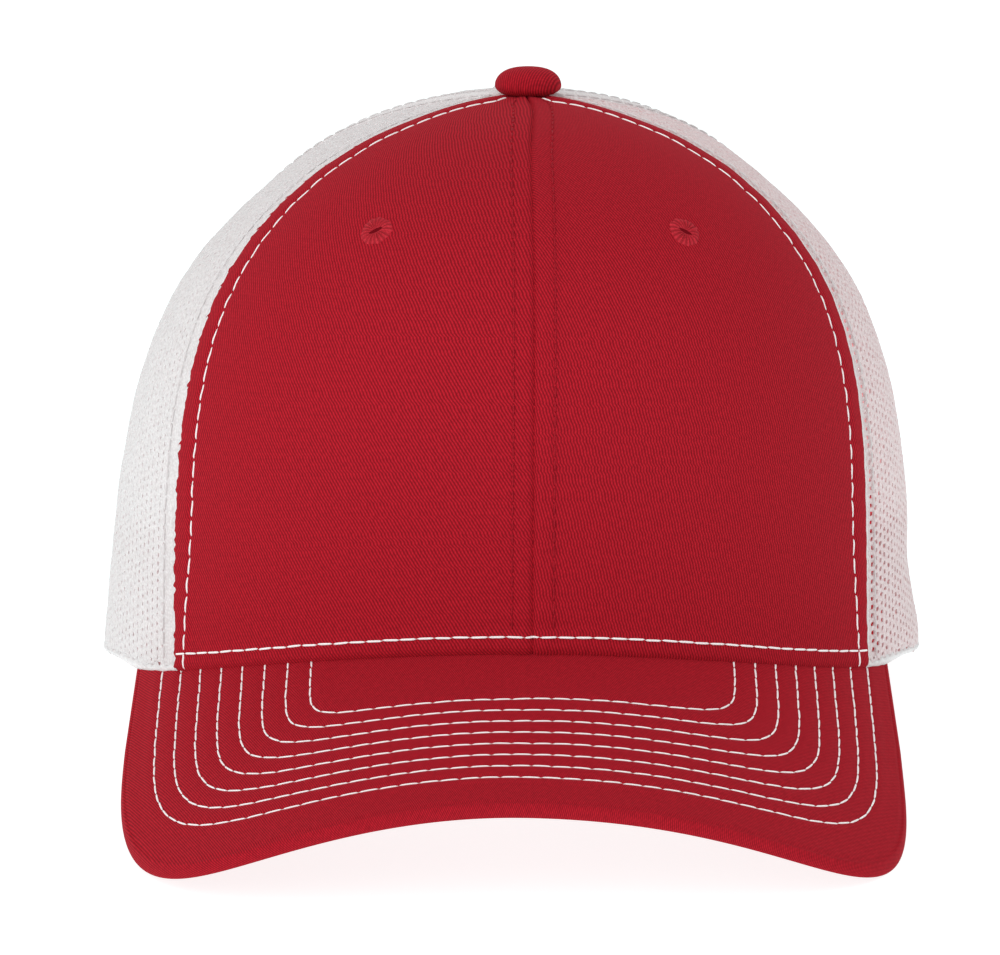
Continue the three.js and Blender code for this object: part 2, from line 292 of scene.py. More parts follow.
# Gives the mesh its own coordinates for cloth or thread, one pair for each point.
def layCoordinates(mesh, name, pairs):
    corners = np.empty(len(mesh.loops), dtype=np.int32)
    mesh.loops.foreach_get("vertex_index", corners)
    if not mesh.uv_layers:
        mesh.uv_layers.new(name=name)
    mesh.uv_layers[0].name = name
    mesh.uv_layers[name].data.foreach_set("uv", pairs[corners].ravel())


def lengthsAlong(path):
    return np.concatenate([[0], np.cumsum(np.linalg.norm(np.diff(path, axis=0), axis=1))])


# A grid primitive whose points are then laid onto a surface. lay takes u and v from 0 to 1 and
# gives places in millimetres. The cloth's own coordinates are the lengths along its rows and
# columns, from the middle column, unless lay gives them too.
def clothGrid(name, columns, rows, lay):
    clear()
    bpy.ops.mesh.primitive_grid_add(x_subdivisions=columns, y_subdivisions=rows, size=1, calc_uvs=True)
    piece = bpy.context.object
    piece.name = name
    mesh = piece.data
    points = pointsOf(mesh)
    column = np.rint((points[:, 0] + 0.5) * columns).astype(int)
    row = np.rint((points[:, 1] + 0.5) * rows).astype(int)
    places, cloth = lay(column / columns, row / rows)
    if cloth is None:
        middle = round(0.5 * columns)
        laid = np.zeros((rows + 1, columns + 1, 3))
        laid[row, column] = places
        across = np.zeros((rows + 1, columns + 1))
        up = np.zeros((rows + 1, columns + 1))
        across[:, 1:] = np.cumsum(np.linalg.norm(np.diff(laid, axis=1), axis=2), axis=1)
        up[1:] = np.cumsum(np.linalg.norm(np.diff(laid, axis=0), axis=2), axis=0)
        across -= across[:, [middle]]
        cloth = np.stack([across[row, column], up[row, middle]], 1)
    mesh.vertices.foreach_set("co", onRest(places).ravel())
    layCoordinates(mesh, "cloth", cloth * mm)
    mesh.update()
    return piece


def thicken(piece, thickness, bevel=0.0, segments=3, innerMaterial=0):
    wall = piece.modifiers.new("wall", "SOLIDIFY")
    wall.thickness = thickness * mm
    wall.offset = -1
    wall.use_even_offset = False
    wall.material_offset = innerMaterial
    if bevel:
        edge = piece.modifiers.new("edge", "BEVEL")
        edge.width = bevel * mm
        edge.segments = segments
        edge.limit_method = "ANGLE"
        edge.angle_limit = math.radians(50)
        edge.use_clamp_overlap = True
    activate(piece)
    for modifier in list(piece.modifiers):
        bpy.ops.object.modifier_apply(modifier=modifier.name)


def linear(hexText):
    value = []
    for i in (0, 2, 4):
        part = int(hexText[i:i + 2], 16) / 255
        value.append(part / 12.92 if part <= 0.04045 else ((part + 0.055) / 1.055) ** 2.4)
    return (*value, 1.0)


def newMaterial(name):
    material = bpy.data.materials.new(name)
    material.use_nodes = True
    tree = material.node_tree
    tree.nodes.clear()
    output = tree.nodes.new("ShaderNodeOutputMaterial")
    shader = tree.nodes.new("ShaderNodeBsdfPrincipled")
    tree.links.new(shader.outputs[0], output.inputs[0])
    return material, tree, shader


# Each input is a value or the socket that it comes from.
def setInputs(tree, node, inputs):
    for key, value in inputs.items():
        if isinstance(value, bpy.types.NodeSocket):
            tree.links.new(value, node.inputs[key])
        else:
            node.inputs[key].default_value = value


def addNode(tree, kind, inputs=None, **settings):
    node = tree.nodes.new("ShaderNode" + kind)
    for key, value in settings.items():
        setattr(node, key, value)
    setInputs(tree, node, inputs or {})
    return node


def maths(tree, operation, *values, clamp=False):
    return addNode(tree, "Math", dict(enumerate(values)), operation=operation, use_clamp=clamp).outputs[0]


def rescale(tree, value, toLow=0.0, toHigh=1.0, fromLow=-1.0, fromHigh=1.0):
    return addNode(tree, "MapRange", {0: value, 1: fromLow, 2: fromHigh, 3: toLow, 4: toHigh}).outputs[0]


def waves(tree, value, pitch, operation="SINE"):
    return maths(tree, operation, maths(tree, "MULTIPLY", value, 2 * math.pi / pitch))


def noise(tree, place, scale, detail):
    return addNode(tree, "TexNoise", {"Scale": scale, "Detail": detail, "Vector": place}).outputs[0]


def blend(tree, share, shade, colour):
    return addNode(tree, "Mix", {0: share, 6: linear(shade), 7: linear(colour)}, data_type="RGBA").outputs[2]


def dress(tree, shader, colour, height, strength, depth, inputs):
    relief = addNode(tree, "Bump", {"Strength": strength, "Distance": depth * mm, "Height": height})
    setInputs(tree, shader, {"Base Color": colour, "Normal": relief.outputs[0], **inputs})


# Red cotton twill, woven with steep ribs and dyed in the piece. The ribs are painted lighter, as painted
# highlight, and the valleys between them darker, as painted shade, with a soft fuzz and a little unevenness
# of the dye.
twill = {
    "ridge": "c61e2e", "valley": "800d1a", "ribPitch": 0.68, "twistPitch": 0.9, "twistSlant": 0.7,
    "twistLow": 0.66, "driftScale": 160.0, "drift": 0.07, "dyeScale": 900.0, "dyeSpread": 0.12,
    "roughness": 0.9, "bump": 0.45, "depth": 0.09, "fuzz": 0.25, "fuzzTint": "d8404e",
}


def cottonTwill(name, ribAngle, ridge=None, valley=None, bump=None, gloss=0.12, pitch=None, glow=0.0):
    material, tree, shader = newMaterial(name)
    cloth = addNode(tree, "UVMap", uv_map="cloth").outputs[0]
    turned = addNode(tree, "Mapping", {"Rotation": (0, 0, math.radians(ribAngle)), "Vector": cloth})
    parts = addNode(tree, "SeparateXYZ", {0: turned.outputs[0]})
    wobble = noise(tree, cloth, twill["driftScale"], 2.0)
    drift = rescale(tree, wobble, -twill["drift"] * mm, twill["drift"] * mm, 0.0)
    across = maths(tree, "ADD", parts.outputs[1], drift)
    rib = rescale(tree, waves(tree, across, (pitch or twill["ribPitch"]) * mm))
    slant = maths(tree, "MULTIPLY", parts.outputs[1], twill["twistSlant"])
    along = maths(tree, "ADD", parts.outputs[0], slant)
    twist = rescale(tree, waves(tree, along, twill["twistPitch"] * mm), twill["twistLow"])
    weave = maths(tree, "MULTIPLY", rib, twist)
    mottle = noise(tree, cloth, twill["dyeScale"], 3.0)
    patches = rescale(tree, mottle, -twill["dyeSpread"], twill["dyeSpread"], 0.3, 0.7)
    tone = maths(tree, "ADD", weave, patches, clamp=True)
    # Ribs take the lighter ridge colour and valleys the darker one: painted highlight and painted shade.
    dye = blend(tree, tone, valley or twill["valley"], ridge or twill["ridge"])
    dress(tree, shader, dye, weave, bump or twill["bump"], twill["depth"], {
        "Roughness": twill["roughness"], "Specular IOR Level": gloss, "Sheen Weight": twill["fuzz"],
        "Sheen Roughness": 0.5, "Sheen Tint": linear(twill["fuzzTint"]), "Emission Color": dye,
        "Emission Strength": glow})
    return material


# White polyester yarn of the knitted net: slightly lustrous, with loops too fine to show, so they
# are drawn a little coarse, as rows of soft bumps.
netYarn = {"colour": "f1efef", "shade": "dad5d5", "loopPitch": 0.6, "loopFade": 0.8, "walePitch": 1.325,
           "waleHeight": 0.35, "bump": 0.5, "depth": 0.12, "roughness": 0.6, "through": 0.5,
           "throughDepth": 1.2}


def knittedPolyester(name, colour=None, shade=None, glow="ffffff", shine=0.0):
    material, tree, shader = newMaterial(name)
    cloth = addNode(tree, "UVMap", uv_map="cloth").outputs[0]
    loops = addNode(tree, "TexVoronoi", {"Scale": 1 / (netYarn["loopPitch"] * mm), "Vector": cloth})
    fade = rescale(tree, loops.outputs[0], 1.0, 0.0, 0.0, netYarn["loopFade"])
    tint = blend(tree, fade, shade or netYarn["shade"], colour or netYarn["colour"])
    parts = addNode(tree, "SeparateXYZ", {0: cloth})
    wale = waves(tree, parts.outputs[0], netYarn["walePitch"] * mm, "COSINE")
    height = maths(tree, "MULTIPLY_ADD", wale, netYarn["waleHeight"], fade)
    dress(tree, shader, tint, height, netYarn["bump"], netYarn["depth"], {
        "Emission Color": linear(glow), "Emission Strength": shine, "Roughness": netYarn["roughness"],
        "Subsurface Weight": netYarn["through"], "Subsurface Radius": (1.0, 0.95, 0.95),
        "Subsurface Scale": netYarn["throughDepth"] * mm})
    return material


# Sewing thread: two plies twisted together, so that fine slanting lines run round it, with the shade
# colour between them. A glow, where given, is painted light that keeps the thread's shaded side white.
yarn = {"slant": 10.0, "plyPitch": 0.5, "bump": 0.4, "depth": 0.06, "roughness": 0.6}


def sewingThread(name, colour, shade, gloss=0.5, glow=0.0):
    material, tree, shader = newMaterial(name)
    thread = addNode(tree, "UVMap", uv_map="thread")
    parts = addNode(tree, "SeparateXYZ", {0: thread.outputs[0]})
    lay = maths(tree, "MULTIPLY_ADD", parts.outputs[0], yarn["slant"], parts.outputs[1])
    ply = rescale(tree, waves(tree, lay, yarn["plyPitch"]))
    dress(tree, shader, blend(tree, ply, shade, colour), ply, yarn["bump"], yarn["depth"], {
        "Roughness": yarn["roughness"], "Specular IOR Level": gloss, "Emission Color": (1, 1, 1, 1),
        "Emission Strength": glow})
    return material


crownTwill = {"left": cottonTwill("cottonTwillLeft", 58), "right": cottonTwill("cottonTwillRight", 74)}
visorTwill = cottonTwill("cottonTwillVisor", 69, pitch=0.42)
buttonTwill = cottonTwill("cottonTwillButton", -72)
# The band glows a little, for the light that reaches it through the net and shows in the holes.
bandTwill = cottonTwill("cottonTwillBand", 20, glow=0.45)
whiteKnit = knittedPolyester("knittedPolyesterNet")
# The right side's net is tinted rosy: a painted reflection of the red cloth beside it.
paintedRedReflectionKnit = knittedPolyester("knittedPolyesterNetRedReflection", "f3eaea", "dec6c7")
# The inner faces glow and are tinted rosy, painted light and a painted reflection of the red cloth,
# standing in for light that comes through the net and off the red cloth, so that the holes look rosy.
paintedGlowInside = knittedPolyester("knittedPolyesterInside", "ead6d6", "dcc0c0", "f4d6d6", 0.46)
paintedRedGlowInside = knittedPolyester("knittedPolyesterInsideRedGlow", "e2a0a4", "cf7e84", "e0868c", 0.34)
closeKnit = knittedPolyester("closeKnittedPolyester", "f6f4f4", "e6e2e2")
# The eyelet's slit is a darker red: painted shade where the slit closes under the threads.
eyeletSlitShade = cottonTwill("paintedShadeInTheEyeletSlit", 0, ridge="84131e", valley="5c0b13", gloss=0.0)
eyeletThread = cottonTwill("redEyeletThread", 0, ridge="cb2a39", valley="981522", bump=0.4, gloss=0.3)
# The white thread glows a little: painted light that keeps it white in shade.
glowingWhiteThread = sewingThread("whiteSewingThread", "ffffff", "f2eaea", glow=0.16)
netThread = sewingThread("whiteNetThread", "f4f1f1", "e2dcdc")
redThread = sewingThread("redSewingThread", "c02030", "8c121f", gloss=0.1)


# Strap plastic: moulded polyethylene, faintly clouded, with a soft gloss.
def mouldedPlastic(name):
    material, tree, shader = newMaterial(name)
    spot = addNode(tree, "TexCoord").outputs["Object"]
    tint = blend(tree, noise(tree, spot, 90.0, 2.0), "ebeae8", "f5f4f2")
    grain = noise(tree, spot, 2500.0, 1.0)
    dress(tree, shader, tint, grain, 0.08, 0.05, {"Roughness": 0.38, "IOR": 1.5})
    return material


strapPlastic = mouldedPlastic("mouldedPolyethylene")
print("materials ready")


def smooth(value, start, end):
    share = np.clip((value - start) / (end - start), 0, 1)
    return share * share * (3 - 2 * share)


def dip(distance, wide):
    return np.exp(-(distance / wide) ** 2)


# Fixed unevenness from 0 to 1, the same each time.
def uneven(*parts):
    total = 0
    for i, part in enumerate(parts):
        total = total + np.asarray(part, float) * (12.9898 + 65.233 * i)
    wave = np.sin(total) * 43758.5453
    return wave - np.floor(wave)


def ringRadius(azimuth, height):
    level = np.minimum(height, 0.996)
    step = crownSurface(azimuth + 0.5, level) - crownSurface(azimuth - 0.5, level)
    return np.linalg.norm(step, axis=-1) / math.radians(1)


def seamDistance(seam, azimuth, height):
    return np.radians(azimuth - seamAzimuth(seam, height)) * ringRadius(azimuth, height)


# Shares of the height, spaced evenly along the cloth over shoulder and top at one azimuth.
def evenUp(azimuth, share):
    heights = (1 - (1 - np.linspace(0, 1, 400)) ** 2) * shareAtRadius(azimuth, 2.6)
    lengths = lengthsAlong(crownSurface(azimuth, heights))
    return np.interp(share * lengths[-1], lengths, heights) / heights[-1]


# Front panels: cotton twill over stiff backing. The cloth turns in at the seams, stands a little
# proud over the seam allowances and dips under each line of stitches.
eyelets = {"left": (-26.7, 0.8285), "right": (31.1, 0.8236)}
frontPanel = {
    "columns": 124, "rows": 176, "wall": 1.5, "buttonHole": 3.2,
    "allowance": 0.3, "allowanceEnd": {"centre": (4.4, 6), "side": (3.9, 5.4), "rim": (4.6, 6.2)},
    "centreStitch": 4.6, "rimStitch": 3.6, "stitchPitch": 4.2, "stitchDip": 0.22, "stitchWide": 0.4,
    "pucker": 0.1, "ragged": 0.35,
    "overlap": {"left": 0.95, "right": 0.55}, "drop": 0.7,
    "sideStitch": {"frontLeft": (2.9, 5.7), "frontRight": (3.9, 5.9)},
}


# The side stitches start close to the seam at the rim, and draw away from it further up.
def sideStitchAway(seam, height):
    low, high = frontPanel["sideStitch"][seam]
    return low + (high - low) * smooth(height, 0.06, 0.34)


# A folded raw edge is never quite straight.
def raggedEdge(height):
    along = crown["height"] * height
    wave = np.sin(along * 2 * math.pi / 2.7 + 2.5 * np.sin(along * 0.31)) * 0.5
    wave = wave + np.sin(along * 2 * math.pi / 1.37 + 2 * np.sin(along * 0.83)) * 0.5
    return frontPanel["ragged"] * wave


def frontRelief(azimuth, height, side):
    sideSeam = "frontLeft" if side == "left" else "frontRight"
    eyelet = eyelets[side]
    ends = frontPanel["allowanceEnd"]
    along = crown["height"] * height
    toCentre = np.abs(seamDistance("frontCentre", azimuth, height))
    toSide = seamDistance(sideSeam, azimuth, height) * (1 if side == "left" else -1)
    up = along - rimHeight(azimuth) + frontPanel["drop"]
    out = frontPanel["allowance"] * (1 - smooth(toCentre, *ends["centre"]))
    out = out + frontPanel["allowance"] * (1 - smooth(toSide, *ends["side"]))
    out = out + frontPanel["allowance"] * (1 - smooth(up, *ends["rim"])) * 0.8
    out = out - 0.85 * dip(toCentre, 0.6) - 0.35 * dip(toSide + 0.7, 0.45) - 0.9 * dip(up, 0.8)
    thread = 0.65 + 0.35 * np.cos(along * 2 * math.pi / frontPanel["stitchPitch"])
    wide = frontPanel["stitchWide"]
    out = out - frontPanel["stitchDip"] * dip(toCentre - frontPanel["centreStitch"], wide) * thread
    out = out - frontPanel["stitchDip"] * dip(toSide - sideStitchAway(sideSeam, height), wide) * thread
    out = out - frontPanel["stitchDip"] * dip(up - frontPanel["rimStitch"], wide)
    wave = np.sin(along * 0.71 + 1.3 * np.sin(along * 0.23)) + 0.6 * np.sin(along * 1.13 + 2)
    out = out + frontPanel["pucker"] * wave * dip(toCentre - 3, 7) * smooth(toCentre, 0, 2)
    out = out + frontPanel["pucker"] * 0.8 * np.sin(along * 0.92 + 0.8) * dip(toSide - 3, 6)
    dx = np.radians(azimuth - eyelet[0]) * ringRadius(azimuth, height)
    dy = (height - eyelet[1]) * crown["height"] * 1.6
    away = np.hypot(dx, dy)
    return out - 0.1 * dip(away - 4.6, 0.9)


def makeFrontPanel(side, fromSeam, toSeam):
    middle = (seams[fromSeam][0] + seams[toSeam][0]) / 2

    def lay(u, v):
        guess = seams[fromSeam][0] + (seams[toSeam][0] - seams[fromSeam][0]) * u
        start = (rimHeight(guess) - frontPanel["drop"]) / crown["height"]
        end = shareAtRadius(guess, frontPanel["buttonHole"])
        height = start + (end - start) * evenUp(middle, v)
        over = np.degrees((frontPanel["overlap"][side] + raggedEdge(height)) / ringRadius(guess, height))
        low = seamAzimuth(fromSeam, height) - (over if side == "left" else 0)
        high = seamAzimuth(toSeam, height) + (over if side == "right" else 0)
        azimuth = low + (high - low) * u
        return crownPoint(azimuth, height, frontRelief(azimuth, height, side)), None

    piece = clothGrid("frontPanel" + side.capitalize(), frontPanel["columns"], frontPanel["rows"], lay)
    thicken(piece, frontPanel["wall"])
    finishShape(piece, piece.name, crownTwill[side])
    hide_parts("front_panel_" + side)


makeFrontPanel("left", "frontLeft", "frontCentre")
makeFrontPanel("right", "frontCentre", "frontRight")
print("front panels ready")

# Net panels: warp-knitted polyester. The holes stand in columns, each column half a pitch off the
# next. They are knitted flat, then laid over the crown, with the columns along the front seam. The
# right side is stretched more, so that its holes stand open.
net = {"pitchAcross": 2.65, "pitchUp": 1.95, "margin": 1.0, "rimMargin": 0.9, "archMargin": 1.2,
       "archBand": 8.5, "hem": 2.6, "buttonHole": 5.5, "inset": 0.45, "out": -0.25, "ripple": 0.12,
       "grain": 0.16, "ridge": 0.25, "leftStitch": 5.7, "rightStitch": 4.8}
netPanels = {
    "sidePanelLeft": {"node": "side_panel_left", "from": "backLeft", "to": "frontLeft", "along": "frontLeft",
                      "fromBand": 4.6, "toBand": 6.2, "holeAcross": 0.6, "holeUp": 1.4, "thickness": 0.6},
    "sidePanelRight": {"node": "side_panel_right", "from": "frontRight", "to": "backRight",
                       "along": "frontRight", "fromBand": 0.6, "toBand": 4.6, "holeAcross": 1.3,
                       "holeUp": 1.55, "thickness": 0.4},
    "backPanelLeft": {"node": "back_panel_left", "from": "backCentreLeft", "to": "backLeft", "along": None,
                      "fromBand": 4.6, "toBand": 4.6, "holeAcross": 1.1, "holeUp": 1.25, "thickness": 0.5},
    "backPanelRight": {"node": "back_panel_right", "from": "backRight", "to": "backCentreRight",
                       "along": None, "fromBand": 4.6, "toBand": 4.6, "holeAcross": 1.1, "holeUp": 1.25,
                       "thickness": 0.5},
}


def archDistance(places):
    turn = math.radians(arch["centre"] - 180)
    x = places[..., 0] * math.cos(turn) + places[..., 1] * math.sin(turn)
    behind = -places[..., 0] * math.sin(turn) + places[..., 1] * math.cos(turn)
    reach = (np.abs(x) / arch["halfWidth"]) ** arch["square"]
    reach = reach + (np.maximum(places[..., 2], 0) / arch["height"]) ** arch["square"]
    return np.where(behind > 0, (reach ** (1 / arch["square"]) - 1) * arch["halfWidth"], 99.0)


# Turns places on the flat net, in millimetres, into azimuth and height on the crown. The returned
# length is how far up the crown the net reaches.
def netLayer(fromSeam, toSeam, along):
    def middleAt(height):
        if along:
            return seamAzimuth(along, height)
        return (seamAzimuth(fromSeam, height) + seamAzimuth(toSeam, height)) / 2

    heights = np.linspace(0, 1, 220) ** 0.6 * shareAtRadius(middleAt(1.0), 3.0)
    spine = crownSurface(middleAt(heights), heights)
    lengths = lengthsAlong(spine)
    turns = np.linspace(-80, 80, 321)
    rings = crownSurface(middleAt(heights)[:, None] + turns[None, :], heights[:, None])
    arcs = np.zeros(rings.shape[:2])
    arcs[:, 1:] = np.cumsum(np.linalg.norm(np.diff(rings, axis=1), axis=2), axis=1)
    arcs -= arcs[:, [len(turns) // 2]]
    reach = 125
    acrossValues = np.linspace(-reach, reach, 4 * reach + 1)
    turnTable = np.stack([np.interp(acrossValues, arcs[i], turns) for i in range(len(heights))])

    def onPanel(a, b):
        height = np.interp(b, lengths, heights)
        level = np.interp(b, lengths, np.arange(len(lengths)))
        spot = np.clip((a + reach) * 2, 0, 4 * reach - 0.001)
        i, j = np.minimum(level.astype(int), len(lengths) - 2), spot.astype(int)
        fi, fj = level - i, spot - j
        turn = (turnTable[i, j] * (1 - fi) * (1 - fj) + turnTable[i + 1, j] * fi * (1 - fj)
                + turnTable[i, j + 1] * (1 - fi) * fj + turnTable[i + 1, j + 1] * fi * fj)
        return middleAt(height) + turn, height

    ends = []
    for seam in (fromSeam, toSeam):
        turn = seamAzimuth(seam, heights) - middleAt(heights)
        ends.append([np.interp(turn[i], turns, arcs[i]) for i in range(len(heights))])
    return onPanel, min(ends[0]), max(ends[1]), lengths[-1]


def makeNetPanel(name):
    panel = netPanels[name]
    fromSeam, toSeam = panel["from"], panel["to"]
    onPanel, start, end, length = netLayer(fromSeam, toSeam, panel["along"])
    first = math.floor(start / net["pitchAcross"])
    columns = math.ceil(end / net["pitchAcross"]) - first
    rows = math.ceil(length / net["pitchUp"])
    clear()
    bpy.ops.mesh.primitive_grid_add(x_subdivisions=columns, y_subdivisions=2 * rows, size=1, calc_uvs=True)
    piece = bpy.context.object
    points = pointsOf(piece.data)
    points[:, 0] = ((points[:, 0] + 0.5) * columns + first) * net["pitchAcross"]
    points[:, 1] = (points[:, 1] + 0.5) * rows * net["pitchUp"]
    piece.data.vertices.foreach_set("co", points.ravel())
    piece.data.update()

    # Every second rung goes, in turn, so that the cells stand like bricks on end.
    bpy.ops.object.mode_set(mode="EDIT")
    bpy.ops.mesh.select_mode(type="EDGE")
    bpy.ops.mesh.select_all(action="DESELECT")
    shape = bmesh.from_edit_mesh(piece.data)
    for edge in shape.edges:
        a, b = edge.verts[0].co, edge.verts[1].co
        if abs(a.y - b.y) < 1e-4:
            column = math.floor((a.x + b.x) / 2 / net["pitchAcross"])
            rung = round(a.y / (net["pitchUp"] / 2))
            edge.select_set((rung + column) % 2 == 1 and 0 < rung < 2 * rows)
    bmesh.update_edit_mesh(piece.data)
    bpy.ops.mesh.dissolve_edges(use_verts=False)

    # Cells outside the panel go. Those that stay open are inset, and the inner face is the hole.
    bpy.ops.mesh.select_mode(type="FACE")
    bpy.ops.mesh.select_all(action="DESELECT")
    shape = bmesh.from_edit_mesh(piece.data)
    shape.faces.ensure_lookup_table()
    centres = np.array([face.calc_center_bounds() for face in shape.faces])
    azimuth, height = onPanel(centres[:, 0], centres[:, 1])
    fromEdge = seamDistance(fromSeam, azimuth, height)
    toEdge = -seamDistance(toSeam, azimuth, height)
    up = crown["height"] * height - rimHeight(azimuth)
    openArch = archDistance(crownSurface(azimuth, height))
    gone = (np.minimum(fromEdge, toEdge) < net["margin"]) | (up < net["rimMargin"])
    gone = gone | (openArch < net["archMargin"])
    gone = gone | (ringRadius(azimuth, height) < net["buttonHole"])
    closed = (fromEdge < panel["fromBand"]) | (toEdge < panel["toBand"]) | (openArch < net["archBand"])
    for face, out in zip(shape.faces, gone):
        face.select_set(bool(out))
    holes = {tuple(np.round(centre, 3)) for centre in centres[~gone & ~closed]}
    bmesh.update_edit_mesh(piece.data)
    bpy.ops.mesh.delete(type="FACE")
    bpy.ops.mesh.select_all(action="DESELECT")
    shape = bmesh.from_edit_mesh(piece.data)
    for face in shape.faces:
        face.select_set(tuple(np.round(np.array(face.calc_center_bounds()), 3)) in holes)
    bmesh.update_edit_mesh(piece.data)
    bpy.ops.mesh.inset(thickness=net["inset"], use_individual=True, use_even_offset=True)
    shape = bmesh.from_edit_mesh(piece.data)
    for face in shape.faces:
        if not face.select:
            continue
        centre = face.calc_center_bounds()
        azimuth, height = onPanel(np.array([centre.x]), np.array([centre.y]))
        up = float(crown["height"] * height[0] - rimHeight(azimuth)[0])
        closing = 0.7 + 0.3 * float(smooth(up, net["hem"] - 1.0, net["hem"] + 1.5))
        chance = [float(uneven(centre.x, centre.y, i)) - 0.5 for i in range(4)]
        wide = panel["holeAcross"] / 2 * closing * (1 + 0.35 * chance[0])
        tall = panel["holeUp"] / 2 * closing * (1 + 0.3 * chance[1])
        lean = 0.12 + 0.5 * chance[2]
        for vert in face.verts:
            away = vert.co - centre
            angle = math.atan2(away.y / net["pitchUp"], away.x / net["pitchAcross"])
            x, y = wide * math.cos(angle), tall * math.sin(angle)
            vert.co.x = centre.x + x + lean * y + 0.2 * chance[3]
            vert.co.y = centre.y + y + 0.12 * chance[2]
    bmesh.update_edit_mesh(piece.data)
    bpy.ops.mesh.delete(type="FACE")
    bpy.ops.object.mode_set(mode="OBJECT")

    # The flat net is laid over the crown, a hair in from its outer face.
    mesh = piece.data
    points = pointsOf(mesh)
    azimuth, height = onPanel(points[:, 0], points[:, 1])
    ripple = net["ripple"] * np.sin(points[:, 0] * 0.4 + 1) * np.sin(points[:, 1] * 0.27)
    grain = net["grain"] * (uneven(points[:, 0], points[:, 1]) - 0.5)
    ridge = net["ridge"] * dip(seamDistance("frontLeft", azimuth, height) + net["leftStitch"], 0.5)
    ridge = ridge + net["ridge"] * dip(seamDistance("frontRight", azimuth, height) - net["rightStitch"], 0.5)
    places = crownPoint(azimuth, height, net["out"] + ripple + grain + ridge)
    layCoordinates(mesh, "cloth", points[:, :2] * mm)
    mesh.vertices.foreach_set("co", onRest(places).ravel())
    mesh.update()
    # The right side panel takes the net with the painted red reflection and the inside with the painted red
    # glow.
    for material in (paintedRedReflectionKnit, paintedRedGlowInside) if name == "sidePanelRight" else (whiteKnit, paintedGlowInside):
        piece.data.materials.append(material)
    thicken(piece, panel["thickness"], innerMaterial=1)
    finishShape(piece, name, angle=40)
    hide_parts(panel["node"])
    print(name, len(piece.data.polygons), "faces")


for name in netPanels:
    makeNetPanel(name)
print("net panels ready")


# A strip of close white knit along one side of a seam, with its edges turned down.
band = {"wide": 5.0, "out": 0.12, "thickness": 0.5, "columns": 8, "rows": 150, "stitch": 4.3, "top": 3.4}


def makeSeamBand(name, seam, side, wide=band["wide"], low=0.0):
    rim, top = seams[seam][:2]

    def lay(u, v):
        even = evenUp(rim, v)
        start = (rimHeight(rim) + low) / crown["height"]
        end = shareAtRadius(top, band["top"])
        height = start + (end - start) * even
        radius = ringRadius(seamAzimuth(seam, height), height)
        narrow = np.minimum(wide, radius * 0.75)
        away = 0.06 + (narrow + 0.25 * (uneven(np.floor(v * 60)) - 0.5)) * u
        azimuth = seamAzimuth(seam, height) + side * np.degrees(away / radius)
        edge = np.minimum(u, 1 - u) * narrow
        onRim = (rimHeight(azimuth) - rimHeight(rim)) * (1 - even) ** 6 / crown["height"]
        out = band["out"] - 0.45 * dip(edge, 0.5) - 0.1 * dip(u * narrow - band["stitch"], 0.5)
        return crownPoint(azimuth, height + onRim, out), None

    piece = clothGrid(name, band["columns"], band["rows"], lay)
    if side < 0:
        editMesh(piece, bpy.ops.mesh.flip_normals)
    thicken(piece, band["thickness"])
    finishShape(piece, name, closeKnit)


makeSeamBand("bandFrontLeft", "frontLeft", -1, wide=1.9)
makeSeamBand("bandFrontRight", "frontRight", 1, wide=1.9)
makeSeamBand("bandBackLeftA", "backLeft", -1)
makeSeamBand("bandBackLeftB", "backLeft", 1)
makeSeamBand("bandBackRightA", "backRight", -1)
makeSeamBand("bandBackRightB", "backRight", 1)
makeSeamBand("bandBackCentreA", "backCentreRight", -1, low=arch["height"] + 4)
makeSeamBand("bandBackCentreB", "backCentreLeft", 1, low=arch["height"] + 4)


# Seam allowance of the right front panel: the red cloth goes on under the net's first holes.
allowance = {"start": -0.6, "wide": 5.0, "low": 0.3, "top": 6.0, "out": -0.95, "thickness": 0.4,
             "columns": 8, "rows": 150}


def makeAllowance():
    seam = "frontRight"
    rim, top = seams[seam][:2]

    def lay(u, v):
        start = (rimHeight(rim) + allowance["low"]) / crown["height"]
        height = start + (shareAtRadius(top, allowance["top"]) - start) * evenUp(rim, v)
        radius = ringRadius(seamAzimuth(seam, height), height)
        away = allowance["start"] + np.minimum(allowance["wide"], radius * 0.6) * u
        azimuth = seamAzimuth(seam, height) + np.degrees(away / radius)
        return crownPoint(azimuth, height, allowance["out"] + 0 * u), None

    piece = clothGrid("seamAllowance", allowance["columns"], allowance["rows"], lay)
    thicken(piece, allowance["thickness"])
    finishShape(piece, "seamAllowance", crownTwill["right"])


makeAllowance()


# Hem: the net's lower edge, turned under and closed up.
hem = {"tall": 1.5, "thickness": 0.7, "drop": 0.8}


def makeHem(name, fromSeam, toSeam, fromTurn=0.0, toTurn=0.0):
    start, end = seams[fromSeam][0] + fromTurn, seams[toSeam][0] + toTurn

    def lay(u, v):
        azimuth = start + (end - start) * u
        edge = np.minimum(v, 1 - v) * hem["tall"]
        drop = hem["drop"] * (1 - smooth(np.abs(azimuth), 64, 74))
        rise = rimHeight(azimuth) - drop + (hem["tall"] + drop) * v * (1 + 0.25 * np.sin(azimuth * 3.1) * v)
        return crownPoint(azimuth, rise / crown["height"], 0.05 - 0.5 * dip(edge, 0.45)), None

    piece = clothGrid(name, 160, 6, lay)
    thicken(piece, hem["thickness"])
    finishShape(piece, name, closeKnit)


archTurn = math.degrees(math.asin((arch["halfWidth"] + 1) / 98))
makeHem("hemSideLeft", "backLeft", "frontLeft", toTurn=0.5)
makeHem("hemSideRight", "frontRight", "backRight", fromTurn=-0.5)
makeHem("hemBackLeft", "backCentreLeft", "backLeft", fromTurn=archTurn)
makeHem("hemBackRight", "backRight", "backCentreRight", toTurn=-archTurn)


# Binding round the arched opening.
binding = {"gap": 0.15, "wide": 10.0, "thickness": 1.1}


